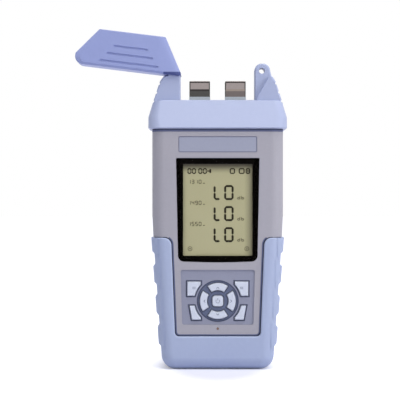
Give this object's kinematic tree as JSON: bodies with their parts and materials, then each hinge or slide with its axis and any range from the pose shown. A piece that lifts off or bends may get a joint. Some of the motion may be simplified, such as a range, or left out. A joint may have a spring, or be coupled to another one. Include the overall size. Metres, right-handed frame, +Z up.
{
  "type": "optical power meter",
  "caption": "Handheld optical power meter: grey case in a lavender grip boot, sloping top guard, flip cover over square fibre ports, display and ring keypad.",
  "frame": {"origin": "middle of the flat base", "axes": "+Z up towards the ports, +X to the right facing the display, -Y out of the display"},
  "size_m": [0.1377, 0.0424, 0.2206],
  "materials": {
    "case_grey": "fine spark texture, matt",
    "guard_lavender": "moulded, satin",
    "cover_lavender": "moulded, satin",
    "boot_lavender": "moulded elastomer, matt",
    "steel": "zinc plated",
    "inner_plastic": "moulded",
    "clear_window": "clear, polished",
    "black_border": "printed black",
    "lcd": "olive reflective display",
    "label_blue": "bare printed film",
    "surround_blue": "dark film",
    "silicone": "moulded silicone",
    "lamp": "tinted lens",
    "board_green": "solder mask",
    "module_alloy": "machined",
    "port_nickel": "nickel plated",
    "ceramic": "ground zirconia",
    "fibre_jacket": "extruded",
    "cell_jacket": "bare wrapped cell",
    "key_pale": "moulded, satin"
  },
  "bodies": {
    "housing": {"battery_door": "case_grey", "board_screws": "steel", "case_screws": "steel", "cell_1": "cell_jacket", "cell_2": "cell_jacket", "cell_3": "cell_jacket", "cell_contacts": "steel", "connector_plate": "inner_plastic", "display_mask": "black_border", "display_window": "clear_window", "door_screw": "steel", "front_shell": "case_grey", "key_domes": "steel", "keypad_mat": "silicone", "keypad_surround": "surround_blue", "label_inlay": "label_blue", "lcd_frame": "inner_plastic", "lcd_glass": "lcd", "left_adapter": "port_nickel", "left_adapter_clip": "steel", "left_ferrule_sleeve": "ceramic", "left_pigtail": "fibre_jacket", "lower_boot": "boot_lavender", "main_board": "board_green", "optical_module": "module_alloy", "rear_shell": "case_grey", "right_adapter": "port_nickel", "right_adapter_clip": "steel", "right_ferrule_sleeve": "ceramic", "right_pigtail": "fibre_jacket", "status_led": "lamp", "top_guard": "guard_lavender"},
    "cover": {"flip_cover": "cover_lavender", "hinge_pin": "steel"},
    "key_bottom_left_cap": {"key_bottom_left": "key_pale"},
    "key_bottom_right_cap": {"key_bottom_right": "key_pale"},
    "key_centre_cap": {"key_centre": "key_pale"},
    "key_down_cap": {"key_down": "key_pale"},
    "key_left_cap": {"key_left": "key_pale"},
    "key_right_cap": {"key_right": "key_pale"},
    "key_top_left_cap": {"key_top_left": "key_pale"},
    "key_top_right_cap": {"key_top_right": "key_pale"},
    "key_up_cap": {"key_up": "key_pale"}
  },
  "joints": [
    {"name": "cover_hinge", "type": "hinge", "parent": "housing", "child": "cover", "pos_m": [-0.0289, 0, 0.1954], "axis": [0, 1, 0], "range_deg": [0, 173]},
    {"name": "key_bottom_left_press", "type": "slide", "parent": "housing", "child": "key_bottom_left_cap", "axis": [0, 1, 0], "range_m": [0, 0.001], "stiffness_N_per_m": 1500, "springref_m": -0.0002},
    {"name": "key_bottom_right_press", "type": "slide", "parent": "housing", "child": "key_bottom_right_cap", "axis": [0, 1, 0], "range_m": [0, 0.001], "stiffness_N_per_m": 1500, "springref_m": -0.0002},
    {"name": "key_centre_press", "type": "slide", "parent": "housing", "child": "key_centre_cap", "axis": [0, 1, 0], "range_m": [0, 0.001], "stiffness_N_per_m": 1500, "springref_m": -0.0002},
    {"name": "key_down_press", "type": "slide", "parent": "housing", "child": "key_down_cap", "axis": [0, 1, 0], "range_m": [0, 0.001], "stiffness_N_per_m": 1500, "springref_m": -0.0002},
    {"name": "key_left_press", "type": "slide", "parent": "housing", "child": "key_left_cap", "axis": [0, 1, 0], "range_m": [0, 0.001], "stiffness_N_per_m": 1500, "springref_m": -0.0002},
    {"name": "key_right_press", "type": "slide", "parent": "housing", "child": "key_right_cap", "axis": [0, 1, 0], "range_m": [0, 0.001], "stiffness_N_per_m": 1500, "springref_m": -0.0002},
    {"name": "key_top_left_press", "type": "slide", "parent": "housing", "child": "key_top_left_cap", "axis": [0, 1, 0], "range_m": [0, 0.001], "stiffness_N_per_m": 1500, "springref_m": -0.0002},
    {"name": "key_top_right_press", "type": "slide", "parent": "housing", "child": "key_top_right_cap", "axis": [0, 1, 0], "range_m": [0, 0.001], "stiffness_N_per_m": 1500, "springref_m": -0.0002},
    {"name": "key_up_press", "type": "slide", "parent": "housing", "child": "key_up_cap", "axis": [0, 1, 0], "range_m": [0, 0.001], "stiffness_N_per_m": 1500, "springref_m": -0.0002}
  ]
}
